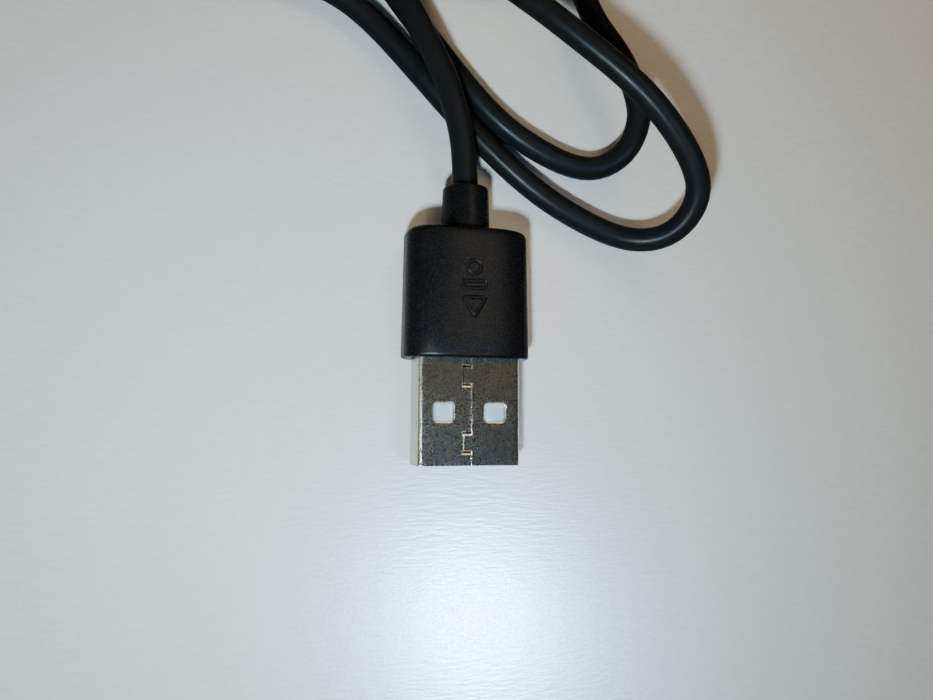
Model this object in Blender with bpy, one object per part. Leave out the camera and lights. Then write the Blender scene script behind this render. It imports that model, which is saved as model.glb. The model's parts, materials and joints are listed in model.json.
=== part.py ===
"""USB lead: a type A plug, about a metre of round cord, and a small type B plug at its far end.

World frame: metres, +Z up. The type A plug lies flat on Z = 0 with its mouth facing -Y, and the origin is
the middle of its footprint. The sizes below are in millimetres.
"""

import math

import bmesh
import bpy
from mathutils import Vector

MM = 0.001

# Type A plug. Y is measured from the mouth, and MOUTH_Y places the mouth in the world.
PLUG_LENGTH = 32.4
MOUTH_Y = -PLUG_LENGTH / 2
AXIS_Z = 4.0
FIT = 0.05
SHELL_WIDTH = 12.0
SHELL_HEIGHT = 4.5
SHELL_WALL = 0.3
SHELL_CORNER = 0.6
SHELL_LENGTH = 18.75
SHELL_SHOWN = 12.1
WINDOW_SIZE = (2.45, 2.3)
WINDOW_AT = (3.02, 6.0)
WINDOW_CORNER = 0.5
SEAM_X = 0.12
SEAM_GAP = 0.06
SEAM_TAB_REACH = 0.9
SEAM_TABS = ((1.5, 3.65), (9.05, 11.15))
SEAM_SLOT = 0.34

TONGUE_WIDTH = 11.1
TONGUE_THICK = 1.84
TONGUE_FRONT = 0.35
BLOCK_FRONT = 12.4
BLOCK_BACK = 15.9
BLOCK_HEIGHT = 3.7
CONTACT_X = (-3.5, -1.0, 1.0, 3.5)
CONTACT_NAMES = ("supply", "data_minus", "data_plus", "ground")
CONTACT_FRONT = (1.0, 2.0, 2.0, 1.0)
CONTACT_SIZE = (1.0, 0.25)
CONTACT_BACK = 19.3
WIRE_NAMES = ("red", "white", "green", "black")

REAR_WIDTH = 11.3
REAR_HEIGHT = 3.82
REAR_WALL = 0.25
REAR_FRONT = 16.2
REAR_BACK = 23.0
CRIMP_RADIUS = 2.15
CRIMP_BACK = 25.85
FILL_SIZE = (12.8, 5.5)
FILL_FRONT = 18.95
FILL_BACK = 25.95

BODY_WIDTH_FRONT = 15.15
BODY_WIDTH_BACK = 14.85
BODY_HEIGHT = 8.0
BODY_BACK = 27.1
COLLAR_RADIUS = 2.84
WIRE_RADIUS = 0.36

# Small type B plug, in its own frame with the mouth at Y = 0 and the cord leaving toward +Y.
SMALL_AT = (32.6, 95.4)
SMALL_AXIS_Z = 3.5
SMALL_SHELL = ((-3.42, 0.92), (-3.42, 0.05), (-2.62, -0.92), (2.62, -0.92), (3.42, 0.05), (3.42, 0.92))
SMALL_WALL = 0.25
SMALL_SHELL_LENGTH = 9.5
SMALL_SHOWN = 5.6
SMALL_PITCH = 0.65
SMALL_CONTACT = (0.36, 0.15)
SMALL_CONTACT_BACK = 11.4
SMALL_TONGUE = (5.5, 0.42)
SMALL_REAR = (8.0, 3.6)
SMALL_REAR_FRONT = 9.75
SMALL_REAR_BACK = 14.6
SMALL_CRIMP_BACK = 17.4
SMALL_FILL = (9.0, 4.8)
SMALL_FILL_BACK = 17.6
SMALL_BODY = (10.6, 7.0)
SMALL_BODY_BACK = 23.0
SMALL_COLLAR_RADIUS = 2.5
SMALL_LENGTH = 28.2
LATCH_X = 1.75
LATCH_SIZE = (0.6, 0.2)
LATCH_ROOT = 5.6
LATCH_TIP = 1.5
LATCH_Z = -0.5
LATCH_HOOK = 0.34

# Cord.
CORD_RADIUS = 1.5
END_GAP = 0.3
TUBE_STEP = 6.4
COIL_CENTRE = (1.0, 66.8)
COIL_RADIUS = 16.0
COIL_HALF_WIDTH = 4.65
COIL_BOTTOM = 0.6
COIL_TOP = 6.75
COIL_IN_ANGLE = math.radians(224)
COIL_OUT_ANGLE = math.radians(150)
COIL_OUTER_TURN = COIL_RADIUS + 3.1
TIE_ANGLE = math.radians(-60)
TIE_WIDTH = 4.0
TIE_THICK = 0.45

# The run leaves the collar, crosses over the two loops' strands, goes round outside the coil, makes the
# inner loop, turns back, makes the larger loop, and rises over the inner one on its way to the coil.
RUN = [
    (0.0, 16.5, 4.0),
    (-0.4, 21.5, 4.2),
    (-1.6, 26.0, 4.7),
    (-4.0, 31.6, 5.0),
    (-12.6, 46.4, 4.7),
    (-19.0, 56.2, 4.2),
    (-22.0, 66.2, 1.9),
    (-18.8, 78.2, 1.5),
    (-10.4, 86.6, 1.5),
    (1.0, 89.7, 1.5),
    (12.5, 86.6, 1.5),
    (20.8, 78.2, 1.5),
    (23.9, 66.8, 1.5),
    (20.3, 55.2, 1.7),
    (16.0, 47.0, 2.6),
    (16.6, 40.4, 4.2),
    (20.4, 34.0, 5.2),
    (22.6, 28.0, 4.9),
    (21.5, 23.4, 3.3),
    (17.3, 21.1, 1.8),
    (11.0, 22.6, 1.5),
    (3.2, 27.6, 1.5),
    (-7.6, 39.8, 1.5),
    (-16.0, 50.8, 1.5),
    (-21.8, 55.4, 1.5),
    (-28.2, 56.4, 1.5),
    (-33.0, 52.4, 1.5),
    (-33.2, 45.8, 1.5),
    (-28.4, 41.6, 1.5),
    (-21.6, 41.4, 1.5),
    (-12.3, 37.8, 1.5),
    (1.3, 24.6, 1.5),
    (11.0, 16.9, 1.5),
    (21.2, 12.3, 2.2),
    (26.7, 12.7, 5.8),
    (27.6, 17.8, 10.0),
    (20.4, 25.8, 12.4),
    (9.4, 34.2, 11.6),
    (0.6, 41.2, 8.8),
    (-6.2, 46.8, 4.6),
    (-10.2, 50.9, 2.5),
]

# The tail leaves the coil, passes over the run and goes down to the small plug.
TAIL = [
    (-13.4, 81.6, 5.2),
    (-10.2, 87.4, 5.0),
    (-5.6, 92.2, 4.2),
    (-0.8, 94.8, 3.6),
]


def clear_scene():
    for obj in list(bpy.data.objects):
        bpy.data.objects.remove(obj, do_unlink=True)


def material(name, colour, roughness, metallic=0.0):
    found = bpy.data.materials.new(name)
    found.use_nodes = True
    shader = found.node_tree.nodes["Principled BSDF"]
    shader.inputs["Base Color"].default_value = (*colour, 1.0)
    shader.inputs["Roughness"].default_value = roughness
    shader.inputs["Metallic"].default_value = metallic
    found.diffuse_color = (*colour, 1.0)
    return found


def add_mesh(name, points, faces, surface, parent=None, origin=(0.0, 0.0, 0.0)):
    """A mesh object from points in millimetres. Its origin goes to the given point."""
    start = Vector(origin)
    mesh = bpy.data.meshes.new(name)
    mesh.from_pydata([(Vector(p) - start) * MM for p in points], [], faces)
    shape = bmesh.new()
    shape.from_mesh(mesh)
    bmesh.ops.recalc_face_normals(shape, faces=shape.faces)
    shape.to_mesh(mesh)
    shape.free()
    mesh.materials.append(surface)
    obj = bpy.data.objects.new(name, mesh)
    obj.location = start * MM
    obj.parent = parent
    bpy.context.scene.collection.objects.link(obj)
    return obj


def loft(sections):
    """Points and faces of a closed solid through sections of equal count, each a list of (x, y, z)."""
    count = len(sections[0])
    points = [p for section in sections for p in section]
    faces = [list(range(count))]
    for k in range(len(sections) - 1):
        a, b = k * count, (k + 1) * count
        for i in range(count):
            j = (i + 1) % count
            faces.append([a + i, a + j, b + j, b + i])
    last = (len(sections) - 1) * count
    faces.append(list(range(last, last + count)))
    return points, faces


def along_y(outline, stations, axis_z):
    """The same (x, z) outline at each y of the stations."""
    return [[(x, y, z + axis_z) for x, z in outline] for y in stations]


def rectangle(width, height, corner=0.0, steps=4):
    """A rectangle about the axis with round corners, as (x, z) points."""
    half_w, half_h = width / 2, height / 2
    if corner <= 0:
        return [(-half_w, -half_h), (half_w, -half_h), (half_w, half_h), (-half_w, half_h)]
    outline = []
    for quarter, (sx, sz) in enumerate(((1, -1), (1, 1), (-1, 1), (-1, -1))):
        for k in range(steps + 1):
            turn = math.radians(90 * (quarter - 1) + 90 * k / steps)
            outline.append(
                (
                    sx * (half_w - corner) + corner * math.cos(turn),
                    sz * (half_h - corner) + corner * math.sin(turn),
                )
            )
    return outline


def circle(radius, count=24):
    return [
        (radius * math.cos(2 * math.pi * k / count), radius * math.sin(2 * math.pi * k / count))
        for k in range(count)
    ]


def oval(width, height, count=48, power=4.0, flat=1.02):
    """A rounded block's outline, between an ellipse and a rectangle, levelled off at its top and bottom."""
    outline = []
    for k in range(count):
        turn = 2 * math.pi * k / count
        c, s = math.cos(turn), math.sin(turn)
        outline.append(
            (
                width / 2 * math.copysign(abs(c) ** (2 / power), c),
                height / 2 * math.copysign(min(1.0, flat * abs(s) ** (2 / power)), s),
            )
        )
    return outline


def cutter(name, points, faces, parent=None):
    obj = add_mesh(name, points, faces, bpy.data.materials["cutter"], parent)
    obj.hide_render = True
    obj.display_type = "WIRE"
    return obj


def cut(obj, tool, operation="DIFFERENCE"):
    boolean = obj.modifiers.new(tool.name, "BOOLEAN")
    boolean.operation = operation
    boolean.solver = "EXACT"
    boolean.object = tool


def box_points(x, y, z):
    """A box between the two values of each of x, y and z."""
    sections = [[(x[0], v, z[0]), (x[1], v, z[0]), (x[1], v, z[1]), (x[0], v, z[1])] for v in y]
    return loft(sections)


def cut_box(obj, name, x, y, z, parent=None):
    cut(obj, cutter(name, *box_points(x, y, z), parent))


def bore(obj, name, radius, start, end, axis_z, parent=None):
    cut(obj, cutter(name, *loft(along_y(circle(radius, 20), (start, end), axis_z)), parent))


def smooth(obj, angle=40):
    obj.data.shade_smooth()
    obj.data.set_sharp_from_angle(angle=math.radians(angle))


def world_y(y):
    return y + MOUTH_Y


def plug_shell(surface):
    """Folded sheet: a tube with a butt seam on top, held by two tabs, and two windows in each wide face."""
    outer = rectangle(SHELL_WIDTH, SHELL_HEIGHT, SHELL_CORNER)
    stations = (world_y(0), world_y(SHELL_LENGTH))
    shell = add_mesh("plug_shell", *loft(along_y(outer, stations, AXIS_Z)), surface)
    inner = rectangle(
        SHELL_WIDTH - 2 * SHELL_WALL, SHELL_HEIGHT - 2 * SHELL_WALL, SHELL_CORNER - SHELL_WALL
    )
    ends = (world_y(-1), world_y(SHELL_LENGTH + 1))
    cut(shell, cutter("shell_inside", *loft(along_y(inner, ends, AXIS_Z))))
    for side in (-1, 1):
        window = [
            (side * WINDOW_AT[0] + x, world_y(WINDOW_AT[1]) + y)
            for x, y in rectangle(*WINDOW_SIZE, WINDOW_CORNER)
        ]
        heights = (AXIS_Z - SHELL_HEIGHT, AXIS_Z + SHELL_HEIGHT)
        cut(shell, cutter(f"window_{side}", *loft([[(x, y, z) for x, y in window] for z in heights])))
    cut_seam(shell)
    smooth(shell)
    return shell


def cut_seam(shell):
    """The gap between the sheet's two edges, which steps round each tab, with a slot at each tab's ends."""
    z = (AXIS_Z + SHELL_HEIGHT / 2 - SHELL_WALL - 0.1, AXIS_Z + SHELL_HEIGHT)
    right, left = SEAM_X, SEAM_X - SEAM_TAB_REACH
    half = SEAM_GAP / 2
    starts = [-1.0] + [tab[1] for tab in SEAM_TABS]
    ends = [tab[0] for tab in SEAM_TABS] + [SHELL_LENGTH + 1]
    for k, (start, end) in enumerate(zip(starts, ends)):
        y = (world_y(start - SEAM_SLOT / 2), world_y(end + SEAM_SLOT / 2))
        cut_box(shell, f"seam_{k}", (right - half, right + half), y, z)
    for k, (start, end) in enumerate(SEAM_TABS):
        y = (world_y(start), world_y(end))
        cut_box(shell, f"tab_side_{k}", (left - half, left + half), y, z)
        for m, at in enumerate((start, end)):
            y = (world_y(at - SEAM_SLOT / 2), world_y(at + SEAM_SLOT / 2))
            cut_box(shell, f"tab_slot_{k}_{m}", (left - half, right + half), y, z)


def plug_insulator(surface):
    """The white tongue under the shell's top wall, its contact grooves, and the block behind the mouth."""
    top = AXIS_Z + SHELL_HEIGHT / 2 - SHELL_WALL - FIT
    under = top - TONGUE_THICK
    y = (world_y(TONGUE_FRONT), world_y(BLOCK_BACK))
    half = TONGUE_WIDTH / 2
    floor = top - BLOCK_HEIGHT
    profile = [
        (y[0], under),
        (world_y(BLOCK_FRONT), under),
        (world_y(BLOCK_FRONT), floor),
        (y[1], floor),
        (y[1], top),
        (y[0], top),
    ]
    sides = [[(x, v, z) for v, z in profile] for x in (-half, half)]
    insulator = add_mesh("plug_insulator", *loft(sides), surface)
    for x, front, name in zip(CONTACT_X, CONTACT_FRONT, CONTACT_NAMES):
        reach = (world_y(front - FIT), world_y(BLOCK_BACK + 1))
        wide = (x - CONTACT_SIZE[0] / 2 - FIT, x + CONTACT_SIZE[0] / 2 + FIT)
        cut_box(insulator, f"groove_{name}", wide, reach, (under - 0.1, under + 0.24))
    return under


def plug_contacts(surface, solder, under):
    """Four flat contacts in the tongue's grooves, each with the solder joint on its tail."""
    half, thick = CONTACT_SIZE[0] / 2, CONTACT_SIZE[1]
    top = under + 0.2
    for x, front, name in zip(CONTACT_X, CONTACT_FRONT, CONTACT_NAMES):
        low = top - thick
        nose = 0.35
        profile = [
            (world_y(front), top),
            (world_y(front), low + 0.12),
            (world_y(front + nose), low),
            (world_y(CONTACT_BACK), low),
            (world_y(CONTACT_BACK), top),
        ]
        add_mesh(
            f"contact_{name}", *loft([[(u, v, z) for v, z in profile] for u in (x - half, x + half)]), surface
        )
        add_mesh(
            f"solder_{name}",
            *solder_bead(x, world_y(CONTACT_BACK - 1.4), world_y(CONTACT_BACK), top + FIT, 0.7, 0.62),
            solder,
        )
    return top + FIT


def solder_bead(x, start, end, floor, width, height):
    """A domed bead of solder on a tail, tapered at its front."""
    sections = []
    for share, y in ((0.45, start), (0.85, start + 0.35), (1.0, end - 0.3), (0.9, end)):
        arc = [math.pi * k / 6 for k in range(7)]
        sections.append(
            [(x + width / 2 * share * math.cos(a), y, floor + height * share * math.sin(a)) for a in arc]
        )
    return loft(sections)


def tube(name, points, radius, resolution, surface, parent=None):
    """A cord or wire: a poly curve with a round bevel and filled caps."""
    data = bpy.data.curves.new(name, "CURVE")
    data.dimensions = "3D"
    data.bevel_depth = radius * MM
    data.bevel_resolution = resolution
    data.use_fill_caps = True
    spline = data.splines.new("POLY")
    spline.points.add(len(points) - 1)
    for target, point in zip(spline.points, points):
        target.co = (*(Vector(point) * MM), 1.0)
    spline.use_smooth = True
    data.materials.append(surface)
    obj = bpy.data.objects.new(name, data)
    obj.parent = parent
    bpy.context.scene.collection.objects.link(obj)
    return obj


def smooth_route(points, step):
    """Points about one step apart on the smooth curve through the route's own points."""
    knots = [Vector(p) for p in points]
    knots = [2 * knots[0] - knots[1]] + knots + [2 * knots[-1] - knots[-2]]
    fine = []
    for a, b, c, d in zip(knots, knots[1:], knots[2:], knots[3:]):
        for k in range(24):
            t = k / 24
            fine.append(
                0.5
                * (
                    2 * b
                    + (c - a) * t
                    + (2 * a - 5 * b + 4 * c - d) * t**2
                    + (3 * b - a - 3 * c + d) * t**3
                )
            )
    fine.append(knots[-2])
    lengths = [0.0]
    for a, b in zip(fine, fine[1:]):
        lengths.append(lengths[-1] + (b - a).length)
    count = max(2, round(lengths[-1] / step))
    route, k = [], 0
    for n in range(count + 1):
        at = lengths[-1] * n / count
        while k < len(fine) - 2 and lengths[k + 1] < at:
            k += 1
        share = (at - lengths[k]) / (lengths[k + 1] - lengths[k])
        route.append(fine[k].lerp(fine[k + 1], share))
    return route


def wire_route(start, end, bow):
    """A wire's path from the cord's end to its solder joint, with a small bow in between."""
    a, b = Vector(start), Vector(end)
    lead = Vector((0, (b.y - a.y) * 0.25, 0))
    middle = (a + b) / 2 + Vector((bow, 0, 0))
    return smooth_route([a, a + lead, middle, b - lead, b], 0.8)


def plug_rear(metal, fill):
    """The rear shield with its crimp, and the hard filling moulded over it."""
    start, back = world_y(REAR_FRONT), world_y(REAR_BACK)
    crimp_back = world_y(CRIMP_BACK)
    box = rectangle(REAR_WIDTH, REAR_HEIGHT, 0.25, 3)
    shield = add_mesh("rear_shield", *loft(along_y(box, (start, back), AXIS_Z)), metal)
    hood = cutter("crimp_tube", *loft(along_y(circle(CRIMP_RADIUS, 20), (back - 0.2, crimp_back), AXIS_Z)))
    cut(shield, hood, "UNION")
    inside = rectangle(REAR_WIDTH - 2 * REAR_WALL, REAR_HEIGHT - 2 * REAR_WALL)
    hollow = (start - 1, back - REAR_WALL)
    cut(shield, cutter("rear_inside", *loft(along_y(inside, hollow, AXIS_Z))))
    bore(shield, "crimp_inside", CRIMP_RADIUS - REAR_WALL, back - 1, crimp_back + 1, AXIS_Z)
    outer = rectangle(*FILL_SIZE, 0.8, 3)
    ends = (world_y(FILL_FRONT), world_y(FILL_BACK))
    filling = add_mesh("inner_mould", *loft(along_y(outer, ends, AXIS_Z)), fill)
    pocket = rectangle(REAR_WIDTH + 2 * FIT, REAR_HEIGHT + 2 * FIT)
    cut(filling, cutter("fill_pocket", *loft(along_y(pocket, (ends[0] - 1, back + FIT), AXIS_Z))))
    bore(filling, "fill_bore", CRIMP_RADIUS + FIT, back - 1, ends[1] + 1, AXIS_Z)
    smooth(shield)
    smooth(filling)


def plug_wiring(surfaces, jacket, braid, floor):
    """The cord's stripped end in the crimp, its folded braid, and four wires to the solder joints."""
    start = world_y(REAR_BACK - 0.4)
    add_mesh(
        "cord_end",
        *loft(along_y(circle(CORD_RADIUS, 20), (start, world_y(PLUG_LENGTH) - FIT), AXIS_Z)),
        jacket,
    )
    sleeve = add_mesh(
        "shield_braid",
        *loft(along_y(circle(CRIMP_RADIUS - REAR_WALL - FIT, 20), (world_y(23.2), world_y(25.8)), AXIS_Z)),
        braid,
    )
    bore(sleeve, "braid_bore", CORD_RADIUS + FIT, world_y(22), world_y(27), AXIS_Z)
    for k, (x, name) in enumerate(zip(CONTACT_X, WIRE_NAMES)):
        turn = math.radians(225 - 90 * k)
        leave = (0.62 * math.cos(turn), start - FIT, AXIS_Z + 0.62 * math.sin(turn))
        reach = (x, world_y(CONTACT_BACK) + FIT, floor + WIRE_RADIUS)
        tube(f"wire_{name}", wire_route(leave, reach, 0.0), WIRE_RADIUS, 1, surfaces[name])


def moulded_body(name, size, taper, front, back, end, axis_z, collar, surface, parent=None):
    """The soft moulding: a rounded block with eased edges, narrowing to the collar round the cord."""
    width, height = size
    length = back - front
    sections = []
    for y, inset in (
        (front, 0.35),
        (front + 0.12, 0.12),
        (front + 0.35, 0.0),
        (front + length * 0.5, 0.0),
        (back - 0.9, 0.0),
        (back - 0.35, 0.2),
        (back - 0.08, 0.55),
        (back, 0.95),
    ):
        share = (y - front) / length
        outline = oval(width - taper * share - 2 * inset, height - 2 * inset)
        sections.append([(x, y, z + axis_z) for x, z in outline])
    for y, radius in ((back, collar + 0.12), (back + 0.3, collar), (end - 0.4, collar - 0.1), (end, collar - 0.45)):
        sections.append([(x, y, z + axis_z) for x, z in circle(radius, 48)])
    body = add_mesh(name, *loft(sections), surface, parent)
    smooth(body)
    return body


def plug_body(surface):
    front, back, end = (world_y(v) for v in (SHELL_SHOWN, BODY_BACK, PLUG_LENGTH))
    size = (BODY_WIDTH_FRONT, BODY_HEIGHT)
    taper = BODY_WIDTH_FRONT - BODY_WIDTH_BACK
    body = moulded_body("plug_overmould", size, taper, front, back, end, AXIS_Z, COLLAR_RADIUS, surface)
    pocket = rectangle(SHELL_WIDTH + 2 * FIT, SHELL_HEIGHT + 2 * FIT, SHELL_CORNER + FIT)
    middle = world_y(FILL_FRONT) - FIT
    cut(body, cutter("body_pocket", *loft(along_y(pocket, (front - 1, middle + 0.5), AXIS_Z))))
    room = rectangle(FILL_SIZE[0] + 2 * FIT, FILL_SIZE[1] + 2 * FIT, 0.8, 3)
    cut(body, cutter("body_room", *loft(along_y(room, (middle, world_y(FILL_BACK) + FIT), AXIS_Z))))
    bore(body, "body_bore", CORD_RADIUS + FIT, world_y(FILL_BACK) - 1, end + 1, AXIS_Z)


def small_frame():
    """The small plug's own frame: its mouth faces +X in the world."""
    frame = bpy.data.objects.new("small_plug_frame", None)
    frame.location = (SMALL_AT[0] * MM, SMALL_AT[1] * MM, 0.0)
    frame.rotation_euler = (0.0, 0.0, math.radians(90))
    bpy.context.scene.collection.objects.link(frame)
    return frame


def inset_outline(outline, wall):
    """The outline moved inward by the wall, each corner to where its two moved sides meet."""
    moved = []
    count = len(outline)
    for k in range(count):
        a, b, c = (Vector(outline[(k + n) % count]) for n in (-1, 0, 1))
        one, two = (b - a).normalized(), (c - b).normalized()
        inward = [Vector((-d.y, d.x)) for d in (one, two)]
        along = one.x * two.y - one.y * two.x
        gap = (inward[1] - inward[0]) * wall
        reach = (gap.x * two.y - gap.y * two.x) / along
        moved.append(tuple(b + inward[0] * wall + one * reach))
    return moved


def small_shell(surface, parent):
    """The small plug's drawn shell, with a slot for each latch in its narrow face."""
    outline = SMALL_SHELL
    shell = add_mesh(
        "small_shell", *loft(along_y(outline, (0, SMALL_SHELL_LENGTH), SMALL_AXIS_Z)), surface, parent
    )
    inside = inset_outline(outline, SMALL_WALL)
    ends = (-1, SMALL_SHELL_LENGTH + 1)
    cut(shell, cutter("small_inside", *loft(along_y(inside, ends, SMALL_AXIS_Z)), parent))
    floor = SMALL_AXIS_Z + SMALL_SHELL[2][1]
    for side in (-1, 1):
        wide = [side * LATCH_X - 0.4, side * LATCH_X + 0.4]
        cut_box(shell, f"latch_slot_{side}", wide, (LATCH_TIP - 0.35, 4.6), (floor - 1, floor + 0.4), parent)
    smooth(shell, 25)


def small_insulator(surface, parent):
    """The dark tongue under the wide wall and the block that holds the contacts and latches."""
    top = SMALL_AXIS_Z + 0.92 - SMALL_WALL - FIT
    under = top - SMALL_TONGUE[1]
    half = SMALL_TONGUE[0] / 2
    block = (5.75, 9.3)
    floor = SMALL_AXIS_Z - 0.92 + SMALL_WALL + FIT
    tongue = add_mesh(
        "small_insulator", *box_points((-half, half), (0.45, block[1]), (under, top)), surface, parent
    )
    wide = half - 0.35
    base = cutter("small_block", *box_points((-wide, wide), block, (floor, under + 0.2)), parent)
    cut(tongue, base, "UNION")
    for k in range(5):
        x = (k - 2) * SMALL_PITCH
        reach = SMALL_CONTACT[0] / 2 + FIT
        groove = (under - 0.2, under + 0.12)
        cut_box(tongue, f"small_groove_{k}", (x - reach, x + reach), (0.9, block[1] + 1), groove, parent)
    return under


def small_contacts(surface, solder, surfaces, under, parent):
    """Five contacts. The fourth is not wired, and each of the others has a solder joint and a wire."""
    top = under + 0.07
    low = top - SMALL_CONTACT[1]
    half = SMALL_CONTACT[0] / 2
    wires = dict(zip((0, 1, 2, 4), WIRE_NAMES))
    wire_radius = 0.27
    for k in range(5):
        x = (k - 2) * SMALL_PITCH
        back = SMALL_CONTACT_BACK if k in wires else 9.9
        add_mesh(
            f"small_contact_{k + 1}", *box_points((x - half, x + half), (1.0, back), (low, top)), surface, parent
        )
        if k not in wires:
            continue
        bead = solder_bead(x, back - 1.1, back, top + FIT, 0.34, 0.4)
        add_mesh(f"small_solder_{k + 1}", *bead, solder, parent)
        turn = math.radians((225, 135, 45, 0, -45)[k])
        leave = (0.62 * math.cos(turn), SMALL_REAR_BACK - 0.4, SMALL_AXIS_Z + 0.62 * math.sin(turn))
        spread = (k - 2) * 0.26
        reach = (x + spread, back + FIT, top + FIT + wire_radius)
        path = wire_route(leave, reach, 0.0)
        tube(f"small_wire_{wires[k]}", path, wire_radius, 1, surfaces[wires[k]], parent)


def small_latches(surface, parent):
    """Two leaf springs whose hooks stand out of the shell. Each turns about its root."""
    root = SMALL_AXIS_Z + LATCH_Z
    half_w, half_t = LATCH_SIZE[0] / 2, LATCH_SIZE[1] / 2
    hook = SMALL_AXIS_Z - 0.92 - LATCH_HOOK
    profile = [
        (LATCH_ROOT, root - half_t),
        (LATCH_ROOT, root + half_t),
        (LATCH_TIP, root + half_t),
        (LATCH_TIP - 0.15, root - half_t),
        (LATCH_TIP + 0.45, hook),
        (LATCH_TIP + 0.65, hook),
        (LATCH_TIP + 0.95, root - half_t),
    ]
    for side, name in ((-1, "left"), (1, "right")):
        x = side * LATCH_X
        sides = [[(u, y, z) for y, z in profile] for u in (x - half_w, x + half_w)]
        add_mesh(f"small_latch_{name}", *loft(sides), surface, parent, (x, LATCH_ROOT, root))


def small_rear(metal, fill, jacket, parent):
    """The small plug's rear shield and crimp, its hard filling, and the cord's stripped end."""
    box = rectangle(*SMALL_REAR, 0.25, 3)
    shield = add_mesh(
        "small_rear_shield",
        *loft(along_y(box, (SMALL_REAR_FRONT, SMALL_REAR_BACK), SMALL_AXIS_Z)),
        metal,
        parent,
    )
    hood = loft(along_y(circle(CRIMP_RADIUS, 20), (SMALL_REAR_BACK - 0.2, SMALL_CRIMP_BACK), SMALL_AXIS_Z))
    cut(shield, cutter("small_crimp_tube", *hood, parent), "UNION")
    inside = rectangle(SMALL_REAR[0] - 2 * REAR_WALL, SMALL_REAR[1] - 2 * REAR_WALL)
    hollow = (SMALL_REAR_FRONT - 1, SMALL_REAR_BACK - REAR_WALL)
    cut(shield, cutter("small_rear_inside", *loft(along_y(inside, hollow, SMALL_AXIS_Z)), parent))
    crimp = CRIMP_RADIUS - REAR_WALL
    bore(shield, "small_crimp_in", crimp, SMALL_REAR_BACK - 1, SMALL_CRIMP_BACK + 1, SMALL_AXIS_Z, parent)
    outer = rectangle(*SMALL_FILL, 0.6, 3)
    filling = add_mesh(
        "small_inner_mould",
        *loft(along_y(outer, (SMALL_REAR_FRONT, SMALL_FILL_BACK), SMALL_AXIS_Z)),
        fill,
        parent,
    )
    pocket = rectangle(SMALL_REAR[0] + 2 * FIT, SMALL_REAR[1] + 2 * FIT)
    deep = (SMALL_REAR_FRONT - 1, SMALL_REAR_BACK + FIT)
    cut(filling, cutter("small_pocket", *loft(along_y(pocket, deep, SMALL_AXIS_Z)), parent))
    wide = CRIMP_RADIUS + FIT
    bore(filling, "small_fill_bore", wide, SMALL_REAR_BACK - 1, SMALL_FILL_BACK + 1, SMALL_AXIS_Z, parent)
    ends = (SMALL_REAR_BACK - 0.35, SMALL_LENGTH - FIT)
    add_mesh("small_cord_end", *loft(along_y(circle(CORD_RADIUS, 20), ends, SMALL_AXIS_Z)), jacket, parent)
    smooth(shield)
    smooth(filling)


def small_body(surface, parent):
    z = SMALL_AXIS_Z
    body = moulded_body(
        "small_overmould",
        SMALL_BODY,
        0.4,
        SMALL_SHOWN,
        SMALL_BODY_BACK,
        SMALL_LENGTH,
        z,
        SMALL_COLLAR_RADIUS,
        surface,
        parent,
    )
    middle = SMALL_REAR_FRONT - FIT
    pocket = [(x * 1.02, y * 1.06) for x, y in SMALL_SHELL]
    cut(body, cutter("small_pocket_front", *loft(along_y(pocket, (4, middle + 0.5), z)), parent))
    room = rectangle(SMALL_FILL[0] + 2 * FIT, SMALL_FILL[1] + 2 * FIT, 0.6, 3)
    cut(body, cutter("small_room", *loft(along_y(room, (middle, SMALL_FILL_BACK + FIT), z)), parent))
    bore(body, "small_bore", CORD_RADIUS + FIT, SMALL_FILL_BACK - 1, SMALL_LENGTH + 1, z, parent)


def coil_point(angle, radius, z=0.0):
    return Vector((COIL_CENTRE[0] + radius * math.cos(angle), COIL_CENTRE[1] + radius * math.sin(angle), z))


def clockwise(angle):
    """The way the cord runs round the coil at this angle."""
    return Vector((math.sin(angle), -math.cos(angle), 0.0))


def cord_coil(surface):
    """The coil's outer shape, a turned ring, notched where the cord runs in and out along its turns."""
    inner, outer = COIL_RADIUS - COIL_HALF_WIDTH, COIL_RADIUS + COIL_HALF_WIDTH
    ease = 1.0
    profile = [
        (outer, COIL_TOP - ease),
        (outer, COIL_BOTTOM + ease),
        (outer - ease, COIL_BOTTOM),
        (inner + ease, COIL_BOTTOM),
        (inner, COIL_BOTTOM + ease),
        (inner, COIL_TOP - ease),
        (inner + ease, COIL_TOP),
        (outer - ease, COIL_TOP),
    ]
    steps = 48
    points = [
        coil_point(2 * math.pi * k / steps, radius, z) for k in range(steps) for radius, z in profile
    ]
    count = len(profile)
    faces = []
    for k in range(steps):
        a, b = k * count, ((k + 1) % steps) * count
        for i in range(count):
            j = (i + 1) % count
            faces.append([a + i, b + i, b + j, a + j])
    ring = add_mesh("cord_coil", points, faces, surface)
    layer = (COIL_BOTTOM + COIL_TOP) / 2
    notch(ring, "coil_in", COIL_IN_ANGLE, -1, (COIL_BOTTOM - 1, COIL_TOP + 1))
    notch(ring, "coil_out", COIL_OUT_ANGLE, 1, (layer, COIL_TOP + 1))
    smooth(ring)


def notch(ring, name, angle, way, heights):
    """Cuts the coil open along a tangent, ahead of it or behind, for the cord that joins it there."""
    at = coil_point(angle, COIL_OUTER_TURN)
    along = clockwise(angle) * way
    across = Vector((math.cos(angle), math.sin(angle), 0.0))
    near, far = -CORD_RADIUS - 0.6, CORD_RADIUS + 3
    corners = [
        at + across * near,
        at + across * far,
        at + across * far + along * 16,
        at + across * near + along * 16,
    ]
    cut(ring, cutter(name, *loft([[(p.x, p.y, z) for p in corners] for z in heights])))


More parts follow.
